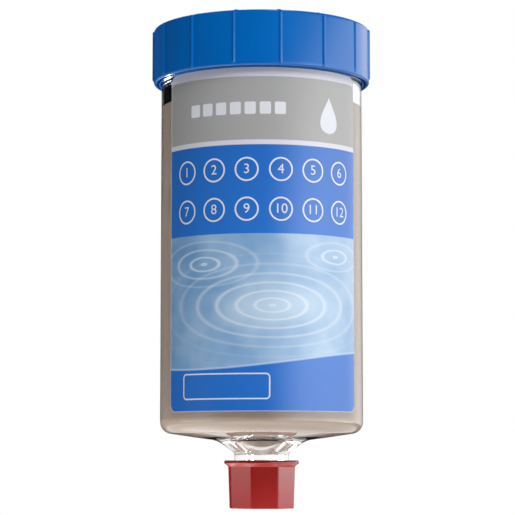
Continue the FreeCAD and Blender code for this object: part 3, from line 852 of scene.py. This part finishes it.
def label_marks():
    """White marks on the label: twelve numbered months, a level bar, a drop and a panel to write in."""
    work = bmesh.new()
    first, step, *rows = MONTHS_AT
    for month in range(12):
        x = first + step * (month % 6)
        y = rows[month // 6]
        add_outlines(work, circle(x, y, MONTH_R), circle(x, y, MONTH_R - PRINT_LINE))
        add_number(work, month + 1, x, y, MONTH_SIZE)
    first, step, y = LEVEL_AT
    wide, tall = LEVEL_SIZE
    for block in range(7):
        x = first + step * block
        add_outlines(work, soft_box(x, x + wide, y - tall / 2, y + tall / 2, 0.4))
    add_outlines(work, drop_outline(*DROP_AT, *DROP_SIZE))
    left, right, bottom, top = PANEL_BOX
    line = PRINT_LINE * 0.8
    inner = soft_box(left + line, right - line, bottom + line, top - line, 1.0 - line)
    add_outlines(work, soft_box(left, right, bottom, top, 1.0), inner)
    bmesh.ops.triangulate(work, faces=work.faces)
    for x in np.arange(-label_half_width, label_half_width, PRINT_CUT):
        everything = [*work.verts, *work.edges, *work.faces]
        bmesh.ops.bisect_plane(work, geom=everything, plane_co=(x, 0, 0), plane_no=(1, 0, 0))
    r = BODY_R + LABEL_THICKNESS + PRINT_LIFT
    for vertex in work.verts:
        a = label_middle + vertex.co.x / BODY_R
        vertex.co = (r * math.sin(a) * MM, -r * math.cos(a) * MM, vertex.co.y * MM)
    mesh = bpy.data.meshes.new("label_marks")
    work.to_mesh(mesh)
    work.free()
    piece("label_marks", mesh, MATERIALS["print_white"], "body")


def scale_marks():
    """Months from 0 to 12 round the dial, with a tick for each; they run clockwise from the front."""
    work = bmesh.new()
    wide, inner_r, outer_r = SCALE_TICK
    half = wide / 2
    for number in range(SCALE_STEPS):
        turn = -math.radians(SCALE_STEP_DEG * number)
        add_number(work, number, 0.0, -SCALE_NUMBER_R, SCALE_NUMBER_SIZE, turn)
        box = np.array([(-half, -outer_r), (half, -outer_r), (half, -inner_r), (-half, -inner_r)])
        rotation = np.array([(math.cos(turn), math.sin(turn)), (-math.sin(turn), math.cos(turn))])
        add_outlines(work, box @ rotation)
    top_z = high("dial_scale")[2] + PRINT_LIFT
    for vertex in work.verts:
        vertex.co = (vertex.co.x * MM, vertex.co.y * MM, top_z * MM)
    mesh = bpy.data.meshes.new("scale_marks")
    work.to_mesh(mesh)
    work.free()
    piece("scale_marks", mesh, MATERIALS["print_dark"], "body")


def ring_angles():
    """Angles round the ring: one each degree, and closer ones over each rib and nub."""
    beside = np.array([0.15, 0.24, 0.3, 0.35, 0.4, 0.5, 0.6, 0.62])
    near = np.concatenate([-beside[::-1], [0.0], beside])
    ribs = np.radians(RIB_FIRST_DEG + np.arange(RIBS) * 360 / RIBS)
    close = (ribs[:, None] + near / high("top_ring")[0]).ravel()
    even = np.radians(np.arange(360))
    even = even[np.abs(((even[:, None] - ribs + math.pi) % TURN) - math.pi).min(axis=1) > math.radians(1.5)]
    return np.sort(np.concatenate([close, even]) % TURN)


def top_ring():
    """Collar turned from its outline, with a rib on its side and a nub on its top at fifteen angles."""
    inner_r = RING_R - RING_WALL
    opening_r = inner_r - RING_FLANGE_REACH
    flange_z = ring_top_z - RING_FLANGE
    foot_z = ring_bottom_z - RING_FOOT
    groove_z = ring_bottom_z + RING_GROOVE_DEPTH
    bead_z = RIM_Z - BEAD_BELOW_RIM
    bead_half = BEAD_WIDTH / 2 + BEAD_CLEARANCE
    side = np.linspace(ring_bottom_z + RING_BOTTOM_ROUND, ring_top_z - RING_TOP_ROUND, 30)[1:-1]
    nub_outer_r = RING_R - NUB_INSET
    arc = 8
    nub_rows = np.array([-0.01, 0.01, 0.05, 0.1, 0.2, 0.3, 0.6, 1.2, 1.8, 2.1, 2.2, 2.3, 2.35, 2.39, 2.41])
    start = rounded([
        (inner_r, foot_z),
        (inner_r + RING_FOOT_WIDTH, foot_z),
        (inner_r + RING_FOOT_WIDTH, groove_z),
        (inner_r + RING_GROOVE_REACH, groove_z),
        (inner_r + RING_GROOVE_REACH, ring_bottom_z),
        (RING_R, ring_bottom_z, RING_BOTTOM_ROUND),
        (RING_R, ring_top_z, RING_TOP_ROUND),
        (opening_r + RING_CHAMFER, ring_top_z),
        (opening_r, ring_top_z - RING_CHAMFER),
        (opening_r, flange_z),
        (inner_r, flange_z),
        (inner_r, bead_z + bead_half),
        (inner_r + BEAD_HEIGHT, bead_z),
        (inner_r, bead_z - bead_half),
    ], steps=arc)
    split_side = 5 + arc
    split_top = split_side + arc
    outline = np.vstack([
        start[:split_side],
        np.stack([np.full_like(side, RING_R), side], axis=-1),
        start[split_side:split_top],
        np.stack([nub_outer_r - nub_rows, np.full_like(nub_rows, ring_top_z)], axis=-1),
        start[split_top:],
    ])

    def with_ribs(a, r, z):
        """Adds the ribs to the radius, each a cosine squared across, and the nubs to the height."""
        step = TURN / RIBS
        from_rib = ((a - math.radians(RIB_FIRST_DEG) + step / 2) % step - step / 2) * RING_R
        across = np.cos(np.clip(from_rib / RIB_HALF_WIDTH, -1, 1) * math.pi / 2) ** 2
        from_bottom = smooth_step((z - ring_bottom_z - RING_BOTTOM_ROUND) / RIB_FADE)
        along = from_bottom * smooth_step((ring_top_z - z) / RING_TOP_ROUND)
        on_side = r > RING_R - RING_TOP_ROUND
        rib = np.where(on_side, RIB_HEIGHT * across * along, 0)
        in_width = (NUB_WIDTH / 2 - np.abs(from_rib)) / NUB_ROUND
        in_length = np.minimum(nub_outer_r - r, r - nub_outer_r + NUB_LENGTH) / NUB_ROUND
        inside = (in_width > 0) & (in_length > 0) & (z > ring_top_z - 1e-6)
        crown = NUB_RISE - NUB_ROUND + NUB_ROUND * quarter_round(in_width) * quarter_round(in_length)
        return r + rib, z + np.where(inside, crown, 0)

    mesh = turned("ribbed_ring", outline, ring_angles(), with_ribs)
    return piece("ribbed_ring", mesh, finish("top_ring"), "body", "top_ring", sharp_deg=30.0)


def outlet_plug():
    """Octagonal cup that turns round at its flange and has the thread's groove in its bore."""
    arc = 7
    top_z = THREAD_LENGTH
    flange_z = top_z - PLUG_FLANGE
    flats_z = flange_z - PLUG_FLARE
    bore_top_r = PLUG_BORE_R + (top_z - PLUG_BORE_Z) * THREAD_TAPER
    thread_rows = int((top_z - PLUG_BORE_Z) / THREAD_PITCH * ROWS_PER_PITCH)
    outside = rounded([
        (PLUG_FLAT_R, PLUG_BOTTOM_Z, PLUG_EDGE_ROUND),
        (PLUG_FLAT_R + PLUG_DRAFT, flats_z, PLUG_FLARE_ROUND),
        (PLUG_FLANGE_R, flange_z, PLUG_FLARE_ROUND),
        (PLUG_FLANGE_R, top_z, PLUG_RIM_ROUND),
        (bore_top_r, top_z, PLUG_EDGE_ROUND),
        (PLUG_BORE_R, PLUG_BORE_Z, PLUG_BORE_ROUND),
        (0.0, PLUG_BORE_Z),
        (0.0, PLUG_BOTTOM_Z),
    ], steps=arc)
    before_bore = 5 * arc
    bore = stretch((bore_top_r, top_z), (PLUG_BORE_R, PLUG_BORE_Z), thread_rows)[2:-3]
    outline = np.vstack([outside[:before_bore], bore, outside[before_bore:]])
    turn = math.radians(PLUG_TURN_DEG)
    step = TURN / PLUG_SIDES
    base = np.arange(32) / 32
    near = np.linspace(-0.06, 0.06, 13)
    corners = (np.arange(PLUG_SIDES) + 0.5) * step
    even = (base[None, :] * step + np.arange(PLUG_SIDES)[:, None] * step).ravel()
    angles = np.unique(np.round(np.concatenate([even, (corners[:, None] + near).ravel()]) + turn, 6))

    def with_flats(a, r, z):
        """The outside takes an octagon's form, from powers of cosines, and the bore takes the groove."""
        from_flat = (a - turn + step / 2) % step - step / 2
        from_next = step - np.abs(from_flat)
        flats = np.cos(from_flat) ** PLUG_CORNER_POWER + np.abs(np.cos(from_next)) ** PLUG_CORNER_POWER
        octagon = flats ** (-1 / PLUG_CORNER_POWER)
        round_share = smooth_step((z - flats_z) / PLUG_FLARE)
        is_outside = (r > PLUG_FLAT_R - 0.5) & ((r > bore_top_r + 0.3) | (z < PLUG_BORE_Z))
        form = 1 + (octagon - 1) * (1 - round_share)
        bore_from = PLUG_BORE_Z + PLUG_BORE_ROUND
        grooved = thread_ridge(a, z, bore_from, top_z - PLUG_GROOVE_END) * PLUG_GROOVE
        on_bore = (r > PLUG_BORE_R - 1e-6) & (r < bore_top_r + 1e-6)
        on_bore &= (z > bore_from) & (z < top_z - PLUG_EDGE_ROUND)
        return np.where(is_outside, r * form, np.where(on_bore, r + grooved, r)), z

    mesh = turned("outlet_plug_form", outline, angles, with_flats)
    return piece("outlet_plug_form", mesh, finish("outlet_plug"), "plug", "outlet_plug", sharp_deg=40.0)


container()
grease_fill()
label_film()
label_marks()
scale_marks()
top_ring()
outlet_plug()

for node_name in ("piston", "drive_housing", "setting_dial", "dial_scale", "dial_pointer", "cell_tray"):
    refined(node_name, LARGE_EDGE)
for node_name in (
    "cover_gasket", "circuit_board", "board_chips", "switch_rotor", "dial_clip", "wiper_contact",
):
    refined(node_name, SMALL_EDGE)

for node_name, node_object in nodes.items():
    for material_slot in node_object.material_slots:
        material_slot.material = finish(node_name)


# Studio

def light_path(tree):
    """Outputs of a Light Path node."""
    return tree.nodes.new("ShaderNodeLightPath").outputs


def studio_floor():
    """Round pale floor, lifted to the background's white where it is seen, so that its shadow remains."""
    angles = np.arange(96) * TURN / 96
    rings = np.linspace(0.0, FLOOR_R, 5) / MM
    r, a = np.meshgrid(rings, angles, indexing="ij")
    points = np.stack([r * np.cos(a), r * np.sin(a), 0 * r], axis=-1)
    mesh = cleaned(grid_mesh("studio_floor", points, close_rows=False))
    obj = bpy.data.objects.new("studio_floor", mesh)
    bpy.context.scene.collection.objects.link(obj)
    obj.location.z = FLOOR_Z
    material, tree, inputs = new_material("studio_floor")
    inputs["Base Color"].default_value = rgb(0.8, 0.8, 0.8)
    inputs["Roughness"].default_value = 0.9
    inputs["Specular IOR Level"].default_value = 0.0
    inputs["Emission Color"].default_value = rgb(1.0, 1.0, 1.0)
    path = light_path(tree)
    shown = maths(tree, "MAXIMUM", path["Is Camera Ray"], path["Is Glossy Ray"])
    shown = maths(tree, "MAXIMUM", shown, path["Is Transmission Ray"])
    from_pool = tree.nodes.new("ShaderNodeVectorMath")
    from_pool.operation = "DISTANCE"
    connect(tree, object_point(tree), from_pool.inputs[0])
    from_pool.inputs[1].default_value = (*POOL_AT, 0.0)
    pool = ranged(tree, from_pool.outputs["Value"], 0.2 * POOL_R, POOL_R, POOL_GLOW, 0.0, smooth=True)
    pool = maths(tree, "MULTIPLY", pool, maths(tree, "SUBTRACT", 1.0, path["Is Camera Ray"]))
    glow = maths(tree, "ADD", maths(tree, "MULTIPLY_ADD", shown, FLOOR_LIFT, FLOOR_GLOW), pool)
    connect(tree, glow, inputs["Emission Strength"])
    obj.data.materials.append(material)


def side_glow(tree, azimuth, height):
    """Radiance of a large soft reflector on the right, soft at its sides, its top and its foot."""
    start, full, fades, faded, ends, ended = (math.radians(degrees) for degrees in (
        GLOW_START_DEG, GLOW_FULL_DEG, GLOW_FADES_DEG, GLOW_FADED_DEG, GLOW_ENDS_DEG, GLOW_ENDED_DEG,
    ))
    rise = ranged(tree, azimuth, start, full, smooth=True)
    fall = ranged(tree, azimuth, fades, faded, 1.0, GLOW_FAR_SHARE)
    end = ranged(tree, azimuth, ends, ended, 1.0, 0.0, smooth=True)
    top = maths(tree, "MULTIPLY_ADD", azimuth, GLOW_TOP_SLOPE, GLOW_TOP)
    below = maths(tree, "SUBTRACT", top, height)
    under_top = ranged(tree, below, -GLOW_SOFT_EDGE, GLOW_SOFT_EDGE, smooth=True)
    over_foot = ranged(tree, height, GLOW_FOOT - GLOW_SOFT_EDGE, GLOW_FOOT + GLOW_SOFT_EDGE, smooth=True)
    window = maths(tree, "MULTIPLY", under_top, over_foot)
    level = maths(tree, "MULTIPLY", maths(tree, "MULTIPLY", rise, fall), maths(tree, "MULTIPLY", end, GLOW))
    return maths(tree, "MULTIPLY", level, window)


def low_glow(tree, azimuth, height):
    """Radiance of two soft patches below the horizon, one on each side."""
    cosine = maths(tree, "COSINE", maths(tree, "SUBTRACT", azimuth, math.radians(LOW_GLOW_DEG)))
    aside = ranged(tree, maths(tree, "ABSOLUTE", cosine), 1.0 - LOW_GLOW_SPREAD, 1.0, smooth=True)
    off = maths(tree, "ABSOLUTE", maths(tree, "SUBTRACT", height, LOW_GLOW_HEIGHT))
    return maths(tree, "MULTIPLY", aside, ranged(tree, off, LOW_GLOW_HALF, 0.0, 0.0, LOW_GLOW, smooth=True))


def studio_world():
    """White behind what the camera sees, a large reflector on the right, and a fill, brighter behind."""
    world = bpy.data.worlds.new("studio")
    bpy.context.scene.world = world
    world.use_nodes = True
    tree = world.node_tree
    background = next(node for node in tree.nodes if node.type == "BACKGROUND")
    path = light_path(tree)
    parts = tree.nodes.new("ShaderNodeSeparateXYZ")
    connect(tree, tree.nodes.new("ShaderNodeTexCoord").outputs["Generated"], parts.inputs[0])
    x, y, z = parts.outputs
    azimuth = maths(tree, "ARCTAN2", x, maths(tree, "MULTIPLY", y, -1.0))
    glossy = path["Is Glossy Ray"]
    share = maths(tree, "MULTIPLY_ADD", glossy, 1.0 - GLOW_DIFFUSE_SHARE, GLOW_DIFFUSE_SHARE)
    glow = maths(tree, "MULTIPLY", side_glow(tree, azimuth, z), share)
    glow = maths(tree, "MULTIPLY_ADD", low_glow(tree, azimuth, z), glossy, glow)
    side_fill = ranged(tree, y, *SIDE_FILL_RANGE, FRONT_FILL, BACK_FILL, smooth=True)
    fill = ranged(tree, z, *TOP_FILL_RANGE, side_fill, TOP_FILL, smooth=True)
    fill = ranged(tree, z, GROUND_FROM, GROUND_FULL, fill, GROUND_FILL, smooth=True)
    reflected = ranged(tree, z, GROUND_FROM, GROUND_FULL, ROOM, GROUND, smooth=True)
    room = maths(tree, "MULTIPLY_ADD", glossy, maths(tree, "SUBTRACT", reflected, fill), fill)
    lit = maths(tree, "ADD", room, glow)
    at_height = maths(tree, "MULTIPLY", ranged(tree, z, *DARK_FOOT), ranged(tree, z, *DARK_TOP))
    dark_left = maths(tree, "MULTIPLY", at_height, ranged(tree, x, *DARK_SIDE))
    seen_through = maths(tree, "LESS_THAN", path["Diffuse Depth"], 0.5)
    seen_through = maths(tree, "MULTIPLY", seen_through, path["Is Transmission Ray"])
    white = maths(tree, "MULTIPLY", seen_through, maths(tree, "SUBTRACT", 1.0, dark_left))
    lit = maths(tree, "MULTIPLY", lit, maths(tree, "SUBTRACT", 1.0, seen_through))
    white = maths(tree, "MAXIMUM", white, path["Is Camera Ray"])
    lit = maths(tree, "MULTIPLY", lit, maths(tree, "SUBTRACT", 1.0, path["Is Camera Ray"]))
    background.inputs["Color"].default_value = rgb(1.0, 1.0, 1.0)
    connect(tree, maths(tree, "ADD", lit, white), background.inputs["Strength"])


def softbox(name, azimuth_deg, elevation_deg, distance, width, height, energy, reflected=True):
    """Soft panel of light at an azimuth, to the camera's right, and an elevation, facing the middle."""
    light = bpy.data.lights.new(name, "AREA")
    light.shape = "RECTANGLE"
    light.size = width
    light.size_y = height
    light.energy = energy
    obj = bpy.data.objects.new(name, light)
    bpy.context.scene.collection.objects.link(obj)
    a = math.radians(azimuth_deg)
    e = math.radians(elevation_deg)
    aside = distance * math.cos(e)
    obj.location = (aside * math.sin(a), -aside * math.cos(a), MIDDLE_Z + distance * math.sin(e))
    obj.rotation_euler = (math.radians(90) - e, 0, a)
    obj.visible_camera = False
    obj.visible_glossy = reflected


def camera():
    """Camera at the photograph's viewing angle, looking a little upwards."""
    data = bpy.data.cameras.new("camera")
    data.lens = LENS_MM
    data.sensor_width = SENSOR_MM
    obj = bpy.data.objects.new("camera", data)
    bpy.context.scene.collection.objects.link(obj)
    obj.location = CAMERA_AT
    obj.rotation_euler = (math.radians(90 + CAMERA_PITCH_DEG), 0, 0)
    bpy.context.scene.camera = obj


studio_floor()
studio_world()
softbox("key", KEY_AZIMUTH_DEG, KEY_ELEVATION_DEG, KEY_DISTANCE, KEY_SIZE, KEY_SIZE, KEY_ENERGY)
softbox(
    "back", BACK_AZIMUTH_DEG, BACK_ELEVATION_DEG, KEY_DISTANCE, BACK_SIZE, BACK_SIZE, BACK_ENERGY,
    reflected=False,
)
for card_name, card_deg in (("left_card", LEFT_CARD_DEG), ("right_card", RIGHT_CARD_DEG)):
    softbox(
        card_name, card_deg, CARD_ELEVATION_DEG, CARD_DISTANCE, CARD_WIDTH, CARD_HEIGHT, CARD_ENERGY,
        reflected=False,
    )
camera()
bpy.context.scene.view_settings.view_transform = "Standard"
